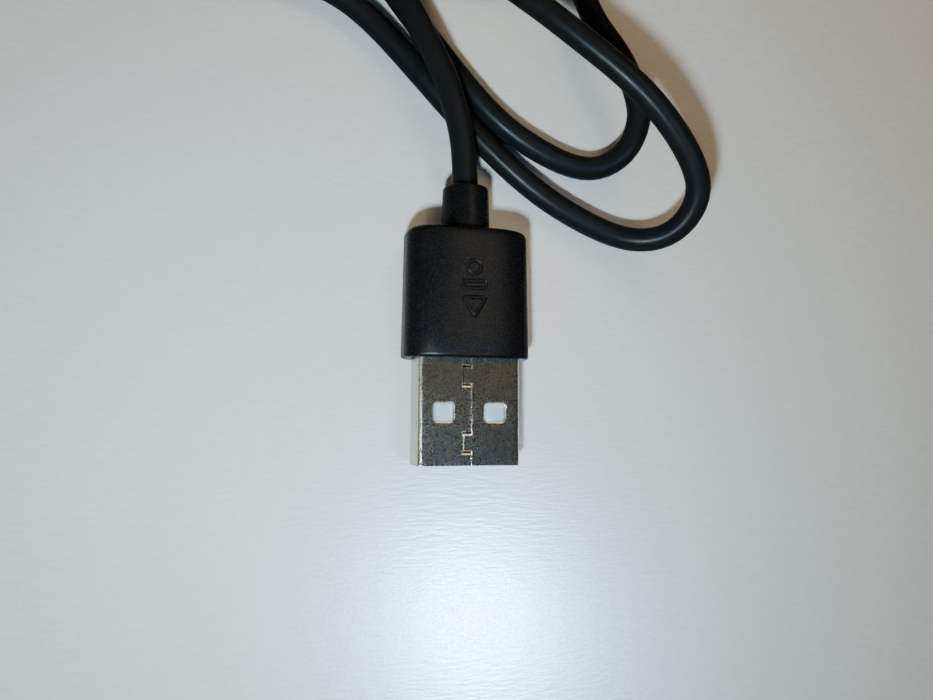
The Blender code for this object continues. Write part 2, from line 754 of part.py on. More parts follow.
def coil_tie(surface):
    """A flat tie round the coil's turns, with its twisted ends on top."""
    half = COIL_HALF_WIDTH + 0.25
    inside = ((-half, half), (COIL_BOTTOM - 0.05, COIL_TOP + 0.1))
    rim = ((-half - TIE_THICK, half + TIE_THICK), (inside[1][0] - TIE_THICK, inside[1][1] + TIE_THICK))
    along = clockwise(TIE_ANGLE)

    def section(limits, reach):
        (x0, x1), (z0, z1) = limits
        spots = ((x0, z0), (x1, z0), (x1, z1), (x0, z1))
        return [
            tuple(coil_point(TIE_ANGLE, COIL_RADIUS + x, z) + along * reach) for x, z in spots
        ]

    half_w = TIE_WIDTH / 2
    band = add_mesh("coil_tie", *loft([section(rim, -half_w), section(rim, half_w)]), surface)
    cut(band, cutter("tie_inside", *loft([section(inside, -half_w - 1), section(inside, half_w + 1)])))
    knot = ((-1.2, 1.2), (inside[1][1] + TIE_THICK - 0.1, inside[1][1] + TIE_THICK + 1.6))
    cut(band, cutter("tie_knot", *loft([section(knot, -1.6), section(knot, 1.6)])), "UNION")


def cords(jacket):
    """The run from the collar to the coil, and the tail from the coil to the small plug."""
    turn_in = coil_point(COIL_IN_ANGLE, COIL_OUTER_TURN, COIL_BOTTOM + CORD_RADIUS + 0.1)
    enter = turn_in - clockwise(COIL_IN_ANGLE) * END_GAP
    exit_face = (RUN[0][0], world_y(PLUG_LENGTH) + END_GAP, RUN[0][2])
    tube("cord_run", smooth_route([exit_face] + RUN[1:] + [enter], TUBE_STEP), CORD_RADIUS, 2, jacket)
    turn_out = coil_point(COIL_OUT_ANGLE, COIL_OUTER_TURN, COIL_TOP - CORD_RADIUS - 0.1)
    leave = turn_out + clockwise(COIL_OUT_ANGLE) * END_GAP
    plug_end = (SMALL_AT[0] - SMALL_LENGTH - END_GAP, SMALL_AT[1], SMALL_AXIS_Z)
    tube("cord_tail", smooth_route([leave] + TAIL + [plug_end], TUBE_STEP * 0.75), CORD_RADIUS, 2, jacket)


def main():
    clear_scene()
    material("cutter", (0.5, 0.5, 0.5), 0.5)
    nickel = material("nickel_plate", (0.52, 0.50, 0.45), 0.28, 1.0)
    nylon = material("white_insulator", (0.82, 0.83, 0.85), 0.5)
    gold = material("gold_flash", (0.83, 0.62, 0.27), 0.25, 1.0)
    solder = material("solder", (0.62, 0.62, 0.6), 0.35, 1.0)
    tin = material("tinned_steel", (0.6, 0.6, 0.58), 0.4, 1.0)
    resin = material("inner_mould_resin", (0.72, 0.70, 0.62), 0.5)
    soft = material("black_pvc_mould", (0.015, 0.015, 0.016), 0.48)
    jacket = material("black_pvc_jacket", (0.012, 0.012, 0.013), 0.4)
    braid = material("tinned_braid", (0.55, 0.54, 0.52), 0.5, 1.0)
    black_nylon = material("black_insulator", (0.02, 0.02, 0.02), 0.5)
    spring = material("spring_steel", (0.58, 0.57, 0.55), 0.3, 1.0)
    tie = material("tie_plastic", (0.03, 0.03, 0.03), 0.55)
    wires = {
        "red": material("wire_red_pvc", (0.55, 0.03, 0.03), 0.45),
        "white": material("wire_white_pvc", (0.8, 0.8, 0.78), 0.45),
        "green": material("wire_green_pvc", (0.03, 0.32, 0.08), 0.45),
        "black": material("wire_black_pvc", (0.02, 0.02, 0.02), 0.45),
    }
    plug_shell(nickel)
    under = plug_insulator(nylon)
    floor = plug_contacts(gold, solder, under)
    plug_rear(tin, resin)
    plug_wiring(wires, jacket, braid, floor)
    plug_body(soft)
    frame = small_frame()
    small_shell(nickel, frame)
    small_under = small_insulator(black_nylon, frame)
    small_contacts(gold, solder, wires, small_under, frame)
    small_latches(spring, frame)
    small_rear(tin, resin, jacket, frame)
    small_body(soft, frame)
    cord_coil(jacket)
    coil_tie(tie)
    cords(jacket)


main()
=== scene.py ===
"""Looks of the usb lead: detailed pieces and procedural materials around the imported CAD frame."""

import json
import math

import bmesh
import bpy
import numpy as np
from mathutils import Matrix, Vector

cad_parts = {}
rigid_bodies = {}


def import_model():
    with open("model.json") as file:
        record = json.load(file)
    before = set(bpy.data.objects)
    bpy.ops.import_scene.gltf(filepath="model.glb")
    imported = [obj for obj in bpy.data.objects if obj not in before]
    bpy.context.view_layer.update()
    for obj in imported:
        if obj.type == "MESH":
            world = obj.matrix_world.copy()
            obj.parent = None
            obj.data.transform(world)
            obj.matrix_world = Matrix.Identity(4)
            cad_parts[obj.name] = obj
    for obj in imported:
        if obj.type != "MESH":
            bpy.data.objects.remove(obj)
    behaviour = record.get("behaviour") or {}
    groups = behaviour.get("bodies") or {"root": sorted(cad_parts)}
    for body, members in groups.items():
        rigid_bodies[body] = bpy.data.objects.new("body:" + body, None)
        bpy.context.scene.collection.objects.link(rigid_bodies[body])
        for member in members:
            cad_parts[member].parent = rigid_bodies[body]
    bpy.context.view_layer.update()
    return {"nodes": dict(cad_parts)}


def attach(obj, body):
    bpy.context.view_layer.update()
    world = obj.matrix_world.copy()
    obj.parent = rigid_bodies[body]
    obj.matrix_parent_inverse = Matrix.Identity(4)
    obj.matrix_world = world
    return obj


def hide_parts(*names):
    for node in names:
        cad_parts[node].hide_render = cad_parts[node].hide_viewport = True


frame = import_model()
NODES = frame["nodes"]
# Shapes are worked out in millimetres. The camera and the lamps are in metres.
MM = 0.001

# ---------------------------------------------------------------- camera

FOCAL_MM = 28.94
SENSOR_MM = 36.0
CAMERA_AT = (-0.02324, -0.01152, 0.08753)
CAMERA_AXES = ((0.9627, -0.0304, -0.2689), (0.0040, 0.9952, -0.0981), (0.2706, 0.0934, 0.9582))


def make_camera():
    """The photo's camera: its place and axes were fitted to the plug's corners."""
    data = bpy.data.cameras.new("camera")
    data.lens = FOCAL_MM
    data.sensor_width = SENSOR_MM
    data.clip_start = 0.005
    data.clip_end = 20.0
    camera = bpy.data.objects.new("camera", data)
    camera.matrix_world = Matrix.Translation(CAMERA_AT) @ Matrix(CAMERA_AXES).to_4x4()
    bpy.context.scene.collection.objects.link(camera)
    bpy.context.scene.camera = camera


# ---------------------------------------------------------------- node helpers


def surface(name, **values):
    """A material with a Principled shader whose own sockets hold the given constants."""
    made = bpy.data.materials.new(name)
    made.use_nodes = True
    shader = made.node_tree.nodes["Principled BSDF"]
    for key, value in values.items():
        shader.inputs[key.replace("_", " ")].default_value = value
    return made, made.node_tree, shader


def node(tree, kind, links=(), **values):
    """A node with its inputs set by name, or linked from (input, output socket) pairs."""
    made = tree.nodes.new(kind)
    for key, value in values.items():
        if hasattr(made, key):
            setattr(made, key, value)
        else:
            made.inputs[key.replace("_", " ")].default_value = value
    for key, source in links:
        tree.links.new(source, made.inputs[key])
    return made


def place(tree, stretch=(1.0, 1.0, 1.0), turn=0.0):
    """Object coordinates, stretched and turned about Z."""
    coordinates = node(tree, "ShaderNodeTexCoord")
    mapping = node(tree, "ShaderNodeMapping", [("Vector", coordinates.outputs["Object"])])
    mapping.inputs["Scale"].default_value = stretch
    mapping.inputs["Rotation"].default_value = (0.0, 0.0, math.radians(turn))
    return mapping.outputs["Vector"]


def noise(tree, vector, scale, detail=2.0, roughness=0.5):
    """Soft noise with about this many features in a metre."""
    values = {"Scale": scale, "Detail": detail, "Roughness": roughness}
    return node(tree, "ShaderNodeTexNoise", [("Vector", vector)], **values).outputs["Fac"]


def spread(tree, value, low, high, start=0.3, end=0.7):
    """The value's range from start to end mapped to low to high."""
    made = node(tree, "ShaderNodeMapRange", [("Value", value)])
    made.inputs["From Min"].default_value = start
    made.inputs["From Max"].default_value = end
    made.inputs["To Min"].default_value = low
    made.inputs["To Max"].default_value = high
    return made.outputs["Result"]


def ramp(tree, value, stops):
    """A colour from (position, colour) stops. Blender's ramp starts with two of them."""
    made = node(tree, "ShaderNodeValToRGB", [("Fac", value)])
    elements = made.color_ramp.elements
    while len(elements) < len(stops):
        elements.new(0.5)
    for element, (at, colour) in zip(elements, stops):
        element.position = at
        element.color = (*colour, 1.0)
    return made.outputs["Color"]


def mix(tree, factor, first, second):
    """Two colours mixed by a factor. Each is a socket or a plain colour."""
    made = tree.nodes.new("ShaderNodeMix")
    made.data_type = "RGBA"
    tree.links.new(factor, made.inputs["Factor"])
    for key, value in (("A", first), ("B", second)):
        slot = next(s for s in made.inputs if s.name == key and s.type == "RGBA")
        if isinstance(value, tuple):
            slot.default_value = (*value, 1.0)
        else:
            tree.links.new(value, slot)
    return next(s for s in made.outputs if s.type == "RGBA")


def bump(tree, shader, layers):
    """Bumps on top of each other, each a (height socket, distance in millimetres, strength)."""
    last = None
    for height, distance, strength in layers:
        made = node(tree, "ShaderNodeBump", [("Height", height)], Strength=strength)
        made.inputs["Distance"].default_value = distance * MM
        if last:
            tree.links.new(last, made.inputs["Normal"])
        last = made.outputs["Normal"]
    tree.links.new(last, shader.inputs["Normal"])


def specks(tree, vector, scale, size, share):
    """Small round specks, one in some cells only, as a 0 to 1 mask."""
    cells = node(tree, "ShaderNodeTexVoronoi", [("Vector", vector)], Scale=scale)
    near = spread(tree, cells.outputs["Distance"], 1.0, 0.0, size * 0.5, size)
    pick = node(tree, "ShaderNodeSeparateColor", [("Color", cells.outputs["Color"])]).outputs[0]
    few = spread(tree, pick, 0.0, 1.0, 1.0 - share, 1.0 - share + 0.001)
    both = node(tree, "ShaderNodeMath", operation="MULTIPLY")
    tree.links.new(near, both.inputs[0])
    tree.links.new(few, both.inputs[1])
    return both.outputs[0]


# ---------------------------------------------------------------- materials


def moulded_plastic():
    """Black soft PVC with the fine spark-eroded grain of its mould, painted sparkle on the grain's raised
    points, faint wear and a little dust.
    """
    made, tree, shader = surface("moulded_plastic", Specular_IOR_Level=0.03)
    at = place(tree)
    cloud = noise(tree, at, 260.0, 3.0)
    grain = noise(tree, at, 5200.0, 3.0, 0.6)
    fine = noise(tree, at, 11000.0, 2.0)
    colour = ramp(tree, cloud, [(0.3, (0.0026, 0.0026, 0.0027)), (0.7, (0.0042, 0.0040, 0.0038))])
    # Painted sparkle: the raised points of the grain get a lighter, bluish colour, as if they glinted.
    colour = mix(tree, spread(tree, grain, 0.0, 1.0, 0.50, 0.72), colour, (0.011, 0.0115, 0.0135))
    dust = specks(tree, at, 420.0, 0.05, 0.03)
    tree.links.new(mix(tree, dust, colour, (0.42, 0.42, 0.40)), shader.inputs["Base Color"])
    tree.links.new(spread(tree, grain, 0.22, 0.32), shader.inputs["Roughness"])
    bump(tree, shader, [(cloud, 0.05, 0.2), (grain, 0.040, 0.7), (fine, 0.012, 0.4)])
    return made


def cord_jacket():
    """Extruded black PVC: smoother than the mouldings, with faint ripples and handling marks."""
    made, tree, shader = surface("cord_jacket", Specular_IOR_Level=0.014)
    at = place(tree)
    ripple = noise(tree, at, 420.0, 2.0)
    rub = noise(tree, at, 1500.0, 4.0, 0.6)
    fine = noise(tree, at, 9000.0, 2.0)
    colour = ramp(tree, rub, [(0.3, (0.0060, 0.0062, 0.0066)), (0.75, (0.0092, 0.0092, 0.0092))])
    dust = specks(tree, at, 380.0, 0.045, 0.02)
    tree.links.new(mix(tree, dust, colour, (0.45, 0.45, 0.43)), shader.inputs["Base Color"])
    tree.links.new(spread(tree, rub, 0.26, 0.42), shader.inputs["Roughness"])
    bump(tree, shader, [(ripple, 0.05, 0.25), (rub, 0.02, 0.3), (fine, 0.006, 0.4)])
    return made


def levelness(tree):
    """1 where the surface faces straight up or down, and 0 where it stands upright."""
    normal = node(tree, "ShaderNodeNewGeometry").outputs["Normal"]
    facing = node(tree, "ShaderNodeSeparateXYZ", [("Vector", normal)])
    level = node(tree, "ShaderNodeMath", operation="ABSOLUTE")
    tree.links.new(facing.outputs["Z"], level.inputs[0])
    return level.outputs[0]


def nickel():
    """Nickel plate over a rolled sheet: a pebbled grain whose bumps glint, with painted warm and cool glints
    and painted shade in its hollows, and faint scratches.

    Painted shade darkens the flat faces, a painted reflection of the table lightens the sides, and a painted
    highlight brightens the bends.
    """
    made, tree, shader = surface("nickel_plate", Metallic=1.0)
    at = place(tree)
    pebble = noise(tree, at, 6800.0, 3.0, 0.7)
    tint = noise(tree, at, 4300.0, 2.0, 0.6)
    cloud = noise(tree, at, 300.0, 3.0)
    scratch = noise(tree, place(tree, (1.0, 0.04, 1.0), 38.0), 5200.0, 2.0)
    # Painted glints: warm and cool tints spread over the grain stand in for glints of the warm and cool
    # lamps.
    warm, plain, cool = (0.62, 0.54, 0.30), (0.44, 0.46, 0.41), (0.31, 0.44, 0.60)
    painted_pit_shade, scuff = (tuple(share * c for c in plain) for share in (0.3, 0.5))
    colour = ramp(tree, tint, [(0.38, cool), (0.5, plain), (0.62, warm)])
    # Painted shade: the grain's hollows, the low places of its bump, are darkened.
    painted_speckle = mix(tree, spread(tree, pebble, 1.0, 0.0, 0.40, 0.58), colour, painted_pit_shade)
    worn = mix(tree, spread(tree, cloud, 0.0, 0.3), painted_speckle, scuff)
    level = levelness(tree)
    flat_from, flat_at = 0.95, 0.995
    # Painted shade: faces level with the table are darkened toward near-black.
    dull_patches_and_painted_shade = mix(tree, spread(tree, level, 0.0, 0.62, flat_from, flat_at), worn, (0.02, 0.02, 0.02))
    # Painted reflection of the pale table: the upright sides get a light cream colour.
    side = mix(tree, spread(tree, tint, 0.0, 0.5), (0.46, 0.46, 0.37), (0.40, 0.40, 0.33))
    # Painted highlight: surfaces that lean part way, such as the bends, the windows' rims and the slots'
    # chamfers, get a brighter, warmer colour.
    rolled = mix(tree, spread(tree, level, 0.0, 1.0, 0.3, 0.6), side, (0.74, 0.68, 0.52))
    flat = spread(tree, level, 0.0, 1.0, flat_from, flat_at)
    tree.links.new(mix(tree, flat, rolled, dull_patches_and_painted_shade), shader.inputs["Base Color"])
    tree.links.new(spread(tree, pebble, 0.24, 0.32), shader.inputs["Roughness"])
    bump(tree, shader, [(pebble, 0.03, 0.8), (scratch, 0.008, 0.3)])
    return made


def plain_metal(name, colour, low, high, depth=0.02, scale=4200.0):
    """A metal with a light grain and patches that are duller than the rest."""
    made, tree, shader = surface(name, Metallic=1.0)
    at = place(tree)
    grain = noise(tree, at, scale, 3.0, 0.6)
    cloud = noise(tree, at, 700.0, 3.0)
    dull_patches_and_painted_shade = tuple(0.78 * c for c in colour)
    tree.links.new(mix(tree, spread(tree, cloud, 0.0, 1.0), colour, dull_patches_and_painted_shade), shader.inputs["Base Color"])
    tree.links.new(spread(tree, grain, low, high), shader.inputs["Roughness"])
    bump(tree, shader, [(grain, depth, 0.5)])
    return made


def plain_plastic(name, colour, other, low, high, **values):
    """A moulded or extruded plastic with soft mottling."""
    made, tree, shader = surface(name, **values)
    at = place(tree)
    cloud = noise(tree, at, 900.0, 3.0)
    grain = noise(tree, at, 7000.0, 2.0)
    tree.links.new(mix(tree, spread(tree, cloud, 0.0, 1.0), colour, other), shader.inputs["Base Color"])
    tree.links.new(spread(tree, grain, low, high), shader.inputs["Roughness"])
    bump(tree, shader, [(cloud, 0.02, 0.2), (grain, 0.01, 0.4)])
    return made


def braid():
    """Fine tinned wires woven round the cord, as crossed waves."""
    made, tree, shader = surface("tinned_braid", Metallic=1.0)
    waves = []
    for turn in (40.0, -40.0):
        along = [("Vector", place(tree, turn=turn))]
        wave = node(tree, "ShaderNodeTexWave", along, Scale=900.0, Distortion=1.5)
        waves.append(wave.outputs["Fac"])
    weave = node(tree, "ShaderNodeMath", operation="MAXIMUM")
    for k, wave in enumerate(waves):
        tree.links.new(wave, weave.inputs[k])
    height = weave.outputs[0]
    # Painted shade and highlight: the weave's low parts, between the wires, are darker and its raised parts
    # lighter.
    colour = ramp(tree, height, [(0.2, (0.2, 0.19, 0.18)), (0.8, (0.6, 0.59, 0.57))])
    tree.links.new(colour, shader.inputs["Base Color"])
    tree.links.new(spread(tree, height, 0.55, 0.35), shader.inputs["Roughness"])
    bump(tree, shader, [(height, 0.05, 0.7)])
    return made


def table_top():
    """A pale laminate with a faint drawn-out grain and a few specks."""
    made, tree, shader = surface("table_top", Specular_IOR_Level=1.0)
    at = place(tree)
    long_grain = noise(tree, place(tree, (0.3, 1.6, 1.0), 3.0), 1500.0, 3.0, 0.6)
    cloud = noise(tree, at, 30.0, 3.0)
    fine = noise(tree, at, 2600.0, 2.0)
    tone = ramp(tree, long_grain, [(0.3, (0.575, 0.573, 0.560)), (0.7, (0.662, 0.662, 0.652))])
    tone = mix(tree, spread(tree, cloud, 0.0, 0.5), tone, (0.615, 0.610, 0.595))
    dirt = specks(tree, at, 95.0, 0.022, 0.10)
    tree.links.new(mix(tree, dirt, tone, (0.22, 0.20, 0.18)), shader.inputs["Base Color"])
    tree.links.new(spread(tree, fine, 0.20, 0.28), shader.inputs["Roughness"])
    bump(tree, shader, [(long_grain, 0.06, 0.35), (fine, 0.02, 0.3)])
    return made


# ---------------------------------------------------------------- mesh helpers


def add_piece(name, points, faces, material, smooth_angle=35.0):
    """A mesh piece from points in millimetres, with its normals facing out."""
    mesh = bpy.data.meshes.new(name)
    mesh.from_pydata([Vector(p) * MM for p in points], [], faces)
    shape = bmesh.new()
    shape.from_mesh(mesh)
    bmesh.ops.recalc_face_normals(shape, faces=shape.faces)
    shape.to_mesh(mesh)
    shape.free()
    mesh.materials.append(material)
    obj = bpy.data.objects.new(name, mesh)
    bpy.context.scene.collection.objects.link(obj)
    finish_shading(obj, smooth_angle)
    return obj


def finish_shading(obj, smooth_angle):
    """Smooth shading, with a crisp edge where two faces meet at more than this many degrees."""
    obj.data.shade_smooth()
    obj.data.set_sharp_from_angle(angle=math.radians(smooth_angle))


def level_shading(obj):
    """Lets the large flat faces set the normals that they share with the rounds beside them."""
    weighted = obj.modifiers.new("level_shading", "WEIGHTED_NORMAL")
    weighted.keep_sharp = True
    weighted.weight = 80


def rings(sections, closed=False):
    """Points and faces through rings of equal count. A closed run joins its last ring to its first."""
    count = len(sections[0])
    points = [p for section in sections for p in section]
    faces = []
    pairs = len(sections) if closed else len(sections) - 1
    for k in range(pairs):
        a, b = k * count, ((k + 1) % len(sections)) * count
        for i in range(count):
            j = (i + 1) % count
            faces.append((a + i, a + j, b + j, b + i))
    if not closed:
        last = (len(sections) - 1) * count
        faces.append(tuple(range(count)))
        faces.append(tuple(range(last, last + count)))
    return points, faces


def cut(obj, cutters, smooth_angle=35.0):
    """Cuts each closed shape, given as (points, faces), out of the piece."""
    for k, (points, faces) in enumerate(cutters):
        tool = add_piece(f"cutter_{k}", points, faces, obj.data.materials[0])
        boolean = obj.modifiers.new("cut", "BOOLEAN")
        boolean.operation = "DIFFERENCE"
        boolean.solver = "MANIFOLD"
        boolean.object = tool
        graph = bpy.context.evaluated_depsgraph_get()
        mesh = bpy.data.meshes.new_from_object(obj.evaluated_get(graph))
        obj.modifiers.clear()
        old = obj.data
        obj.data = mesh
        bpy.data.meshes.remove(old)
        bpy.data.objects.remove(tool)
    obj.data.name = obj.name
    finish_shading(obj, smooth_angle)


def rectangle(width, height, corner, steps=8):
    """A rectangle with round corners about the axis, as (x, z) points, anticlockwise from its lower right."""
    outline = []
    for quarter, (sx, sz) in enumerate(((1, -1), (1, 1), (-1, 1), (-1, -1))):
        for k in range(steps + 1):
            turn = math.radians(90 * (quarter - 1) + 90 * k / steps)
            outline.append(
                (
                    sx * (width / 2 - corner) + corner * math.cos(turn),
                    sz * (height / 2 - corner) + corner * math.sin(turn),
                )
            )
    return outline


# ---------------------------------------------------------------- the moulded bodies

RING_COUNT = 256
OVAL_POWER = 3.1
CORNER_CROWDING = 0.35


def ring_angles(aspect):
    """Angles round the axis, crowded toward the corners of an oval of this height to width."""
    angles = []
    for k in range(RING_COUNT):
        turn = 2 * math.pi * k / RING_COUNT
        c, s = math.cos(turn), math.sin(turn)
        corner = math.atan2(
            aspect * math.copysign(abs(s) ** 0.5, s), math.copysign(abs(c) ** 0.5, c)
        )
        corner += 2 * math.pi * round((turn - corner) / (2 * math.pi))
        angles.append(CORNER_CROWDING * corner + (1 - CORNER_CROWDING) * turn)
    return angles


def oval_ring(width, height, angles):
    """A rounded block's outline: an oval of high power, nearly flat on each side."""
    ring = []
    for angle in angles:
        c, s = math.cos(angle), math.sin(angle)
        powers = (abs(c) * 2 / width) ** OVAL_POWER + (abs(s) * 2 / height) ** OVAL_POWER
        reach = powers ** (-1 / OVAL_POWER)
        ring.append((reach * c, reach * s))
    return ring


def circle_ring(radius, angles):
    """A circle's points at these angles."""
    return [(radius * math.cos(a), radius * math.sin(a)) for a in angles]


def outline_ring(outline, angles):
    """The points where rays at these angles meet a closed convex outline."""
    ring = []
    for angle in angles:
        c, s = math.cos(angle), math.sin(angle)
        best = None
        for (x0, z0), (x1, z1) in zip(outline, outline[1:] + outline[:1]):
            dx, dz = x1 - x0, z1 - z0
            across = c * dz - s * dx
            if abs(across) < 1e-12:
                continue
            reach = (x0 * dz - z0 * dx) / across
            share = (x0 * s - z0 * c) / across
            if reach > 0 and -1e-9 <= share <= 1 + 1e-9:
                best = reach if best is None else min(best, reach)
        ring.append((best * c, best * s))
    return ring


def moulding(name, size, taper, front, back, end, collar, hole, room, room_y, material):
    """A soft moulding with eased edges and a collar, hollow where the shell, filling and cord sit.

    It is made about its own axis, with the mouth toward -Y, from y = front to back, and its collar
    of radius collar goes on to end. The shell's hole opens into the filling's room.
    """
    width, height = size
    angles = ring_angles(height / width)
    sections = []

    def add(ring, y):
        sections.append([(x, y, z) for x, z in ring])

    def body(y, inset):
        share = (y - front) / (back - front)
        add(oval_ring(width - taper * share - 2 * inset, height - 2 * inset, angles), y)

    def quarter(steps):
        """The sines, and one less the cosines, along a quarter turn."""
        turns = [math.radians(90 * k / steps) for k in range(steps + 1)]
        return [(math.sin(turn), 1 - math.cos(turn)) for turn in turns]

    front_round = 0.35
    for rise, fall in quarter(6):
        body(front + front_round * (1 - rise), front_round * fall)
    sections.reverse()
    for share in (0.15, 0.3, 0.5, 0.7, 0.85):
        body(front + (back - front) * share, 0.0)
    back_round, back_inset = 0.9, 0.95
    for rise, fall in quarter(10):
        body(back - back_round + back_round * rise, back_inset * fall)
    fillet = 0.32
    for rise, fall in quarter(5):
        add(circle_ring(collar + fillet * (1 - rise), angles), back + fillet * fall)
    collar_taper = 0.1
    for share in (0.3, 0.6):
        y = back + fillet + (end - back - fillet) * share
        add(circle_ring(collar - collar_taper * share, angles), y)
    end_round = 0.38
    for rise, fall in quarter(5):
        radius = collar - collar_taper - end_round * fall
        add(circle_ring(radius, angles), end - end_round + end_round * rise)
    bore, bore_lip, mouth_lip = CORD_RADIUS + 0.05, 0.14, 0.12
    room_front, room_back = room_y
    add(circle_ring(bore + bore_lip, angles), end)
    add(circle_ring(bore, angles), end - 0.16)
    add(circle_ring(bore, angles), room_back)
    add(outline_ring(room, angles), room_back)
    add(outline_ring(room, angles), room_front)
    add(outline_ring(hole, angles), room_front)
    add(outline_ring(hole, angles), front + mouth_lip)
    add(outline_ring([(x * 1.012, z * 1.03) for x, z in hole], angles), front)
    return add_piece(name, *rings(sections, closed=True), material)


def groove(path, radius):
    """A round tool swept along a closed flat path of (x, y, z) points, for a groove with a round floor."""
    points = [Vector(p) for p in path]
    sides = 10
    turns = [2 * math.pi * n / sides for n in range(sides)]
    sections = []
    for k, at in enumerate(points):
        along = (points[(k + 1) % len(points)] - points[k - 1]).normalized()
        side = along.cross(Vector((0, 0, 1))).normalized()
        ring = [at + side * (radius * math.cos(a)) + Vector((0, 0, radius * math.sin(a))) for a in turns]
        sections.append([tuple(point) for point in ring])
    return rings(sections, closed=True)


def rounded_path(corners, radius):
    """A closed flat path round the corners, each turned on a small curve."""
    path = []
    count, steps = len(corners), 6
    for k in range(count):
        a, b, c = (Vector(corners[(k + n) % count]) for n in (-1, 0, 1))
        into, out = (b - a).normalized(), (c - b).normalized()
        start, stop = b - into * radius, b + out * radius
        for n in range(steps + 1):
            t = n / steps
            path.append(tuple(start * (1 - t) ** 2 + b * (2 * t * (1 - t)) + stop * t**2))
    return path


# ---------------------------------------------------------------- type A plug

PLUG_Z = 4.0
MOUTH_Y = -16.2
PLUG_MOULD = (14.8, 8.0)
PLUG_MOULD_Y = (12.1, 27.1, 32.4)
PLUG_ROOM_Y = (18.9, 26.0)
PLUG_COLLAR = 2.84
MARK_GROOVE = 0.25
SHELL = (12.0, 4.5, 0.6)
SHELL_WALL = 0.3
SHELL_LENGTH = 18.75
# The windows sit slightly to one side, as the photo shows them.
WINDOW_AT = (3.02, 6.0)
WINDOW_SHIFT = -0.1
WINDOW = (2.72, 2.45, 0.62)
# A window's rim: how far each level stands out from the opening, and its depth below the face.
WINDOW_RIM = ((0.24, -0.3), (0.0, 0.0), (-0.16, 0.065), (-0.21, 0.15), (-0.22, 0.6))
SEAM_X = 0.12
SEAM_HALF = 0.045
SEAM_DEPTH = 0.22
TAB_REACH = 0.9
TABS = ((1.5, 3.65), (9.05, 11.15))
SLOT = 0.34
SLOT_DEPTH = 0.27


def mark_shapes(middle):
    """A generic mark about y = middle, as flat (x, y) outlines: an arrow, a bar and a ring."""
    reach, ring_radius = 1.35, 0.78
    arrow = [(0.0, middle - 2.9), (reach, middle - 0.7), (-reach, middle - 0.7)]
    low, high = middle + 0.35, middle + 1.15
    bar = [(-reach, low), (reach, low), (reach, high), (-reach, high)]
    turns = [math.radians(30 * k) for k in range(12)]
    ring = [(ring_radius * math.cos(t), middle + 2.75 + ring_radius * math.sin(t)) for t in turns]
    return [rounded_path([Vector(c) for c in shape], 0.3) for shape in (arrow, bar)] + [ring]


def plug_overmould(material):
    """The plug's moulding, with the mark sunk in its top."""
    front, back, end = (MOUTH_Y + y for y in PLUG_MOULD_Y)
    obj = moulding(
        "overmould",
        size=PLUG_MOULD,
        taper=0.45,
        front=front,
        back=back,
        end=end,
        collar=PLUG_COLLAR,
        hole=rectangle(12.1, 4.6, 0.65),
        room=rectangle(12.9, 5.6, 0.8),
        room_y=[MOUTH_Y + y for y in PLUG_ROOM_Y],
        material=material,
    )
    obj.data.transform(Matrix.Translation((0, 0, PLUG_Z * MM)))
    top = PLUG_Z + PLUG_MOULD[1] / 2 + 0.02
    shapes = mark_shapes((front + back) / 2 - 0.1)
    cut(obj, [groove([(x, y, top) for x, y in shape], MARK_GROOVE) for shape in shapes])
    level_shading(obj)
    return obj


def shell_sheet(material, painted_seam_shade):
    """The folded sheet: rolled lips at the mouth, flared windows, and the seam with its two tabs."""
    width, height, corner = SHELL
    wall, lip, lip_round = SHELL_WALL, 0.07, 0.02
    lip_start, lip_bend = 0.12, 0.045
    sections = []
    for inset, y in (
        (0.0, lip_start),
        (lip_round, lip_bend),
        (lip, 0.0),
        (wall - lip, 0.0),
        (wall - lip_round, lip_bend),
        (wall, lip_start),
        (wall, SHELL_LENGTH),
        (0.0, SHELL_LENGTH),
    ):
        outline = rectangle(width - 2 * inset, height - 2 * inset, max(corner - inset, 0.05))
        sections.append([(x, MOUTH_Y + y, z + PLUG_Z) for x, z in outline])
    shell = add_piece("shell_sheet", *rings(sections, closed=True), material, smooth_angle=30.0)
    roof = PLUG_Z + height / 2
    tools = [window_tool(side, way) for side in (-1, 1) for way in (-1, 1)]
    cut(shell, tools + seam_tools(roof), smooth_angle=20.0)
    darken_seam(shell, roof, painted_seam_shade)
    level_shading(shell)
    return shell


def window_tool(side, way):
    """The cutter of one window: side is -1 for left or 1 for right, way is -1 for underside or 1 for top."""
    face = PLUG_Z + way * SHELL[1] / 2
    centre = side * WINDOW_AT[0] + WINDOW_SHIFT
    width, height, corner = WINDOW
    levels = []
    for grow, depth in WINDOW_RIM:
        outline = rectangle(width + 1.6 * grow, height + 1.6 * grow, corner + 0.6 * grow)
        levels.append([(centre + x, MOUTH_Y + WINDOW_AT[1] + y, face - way * depth) for x, y in outline])
    return rings(levels)


def darken_seam(shell, roof, painted_seam_shade):
    """Gives the walls and floor of the seam's slots a near-black colour: painted shade in the narrow gaps."""
    shell.data.materials.append(painted_seam_shade)
    margin, deepest, highest = 0.1, roof - SLOT_DEPTH - 0.02, roof - 0.09
    for face in shell.data.polygons:
        x, _, z = (c / MM for c in face.center)
        inside = SEAM_X - TAB_REACH - margin < x < SEAM_X + margin
        if inside and deepest < z < highest:
            face.material_index = 1


def slot_tool(roof, x_range, y_range, ease, depth):
    """A slot's cutter, with edges that open out by ease at the roof."""
    (x0, x1), (y0, y1) = x_range, y_range
    levels = []
    for grow, z in (
        (ease * 1.8, roof + 0.05),
        (ease, roof),
        (0.0, roof - 0.4 * ease),
        (0.0, roof - depth),
    ):
        corners = (
            (x0 - grow, y0 - grow),
            (x1 + grow, y0 - grow),
            (x1 + grow, y1 + grow),
            (x0 - grow, y1 + grow),
        )
        levels.append([(x, MOUTH_Y + y, z) for x, y in corners])
    return rings(levels)


